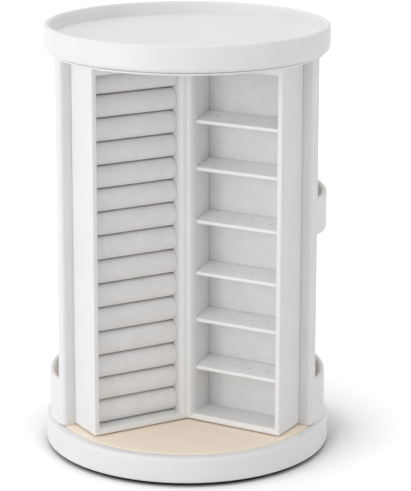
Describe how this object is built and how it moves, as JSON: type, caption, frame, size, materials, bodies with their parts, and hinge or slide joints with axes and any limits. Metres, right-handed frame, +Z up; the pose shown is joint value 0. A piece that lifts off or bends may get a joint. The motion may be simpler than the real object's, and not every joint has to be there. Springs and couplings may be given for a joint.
{
  "type": "rotating jewelry box",
  "caption": "Round rotating jewelry box: a leather-wrapped core on a turntable base, with a ring case, an earring case, rear bins with necklace pegs, and a tray on top.",
  "frame": {"origin": "on the floor, under the middle of the base, on the turning axis", "axes": "+Z up along the turning axis, the front vee opens towards -Y, +X to the right"},
  "size_m": [0.22, 0.22, 0.3293],
  "materials": {
    "white_leather": "fine-grained artificial leather, satin white",
    "cream_leather": "cream artificial leather, satin",
    "grey_velvet": "short-pile velvet, warm grey",
    "grey_lining": "smooth suede cloth, pale grey",
    "white_shelf": "satin white",
    "black_plastic": "matt black",
    "rubber": "matt black",
    "steel": "bright zinc-plated",
    "nylon": "natural nylon",
    "brass": "polished, gold tone",
    "beech": "plain turned beech"
  },
  "bodies": {
    "foot": {"foot_plate": "black_plastic", "rubber_feet": "rubber", "lower_race": "steel", "lower_race_screws": "steel"},
    "ball_ring": {"bearing_balls": "steel", "ball_cage": "nylon"},
    "carousel": {"base_disc": "white_leather", "left_board": "white_leather", "right_board": "white_leather", "back_board": "white_leather", "core_post": "white_leather", "ring_case": "white_leather", "earring_case": "white_leather", "left_bin_fence": "white_leather", "right_bin_fence": "white_leather", "high_bin": "white_leather", "top_disc": "white_leather", "tray": "white_leather", "base_pad": "cream_leather", "high_bin_pad": "cream_leather", "ring_roll_01": "grey_velvet", "ring_roll_02": "grey_velvet", "ring_roll_03": "grey_velvet", "ring_roll_04": "grey_velvet", "ring_roll_05": "grey_velvet", "ring_roll_06": "grey_velvet", "ring_roll_07": "grey_velvet", "ring_roll_08": "grey_velvet", "ring_roll_09": "grey_velvet", "ring_roll_10": "grey_velvet", "ring_roll_11": "grey_velvet", "ring_roll_12": "grey_velvet", "ring_roll_13": "grey_velvet", "ring_roll_14": "grey_velvet", "ring_roll_15": "grey_velvet", "earring_lining": "grey_lining", "earring_shelf_1": "white_shelf", "earring_shelf_2": "white_shelf", "earring_shelf_3": "white_shelf", "earring_shelf_4": "white_shelf", "earring_shelf_5": "white_shelf", "earring_shelf_6": "white_shelf", "upper_race": "steel", "upper_race_screws": "steel", "core_screws": "steel", "left_board_pegs": "brass", "right_board_pegs": "brass", "back_board_left_pegs": "brass", "back_board_right_pegs": "brass", "dowels": "beech"}
  },
  "joints": [
    {"name": "turntable_spin", "type": "hinge", "parent": "foot", "child": "carousel", "pos_m": [0, 0, 0.0111], "axis": [0, 0, 1], "continuous": true},
    {"name": "ball_ring_spin", "type": "hinge", "parent": "foot", "child": "ball_ring", "pos_m": [0, 0, 0.0111], "axis": [0, 0, 1], "continuous": true}
  ],
  "couplings": [
    {"joint": "ball_ring_spin", "follows": "turntable_spin", "ratio": 0.5}
  ]
}
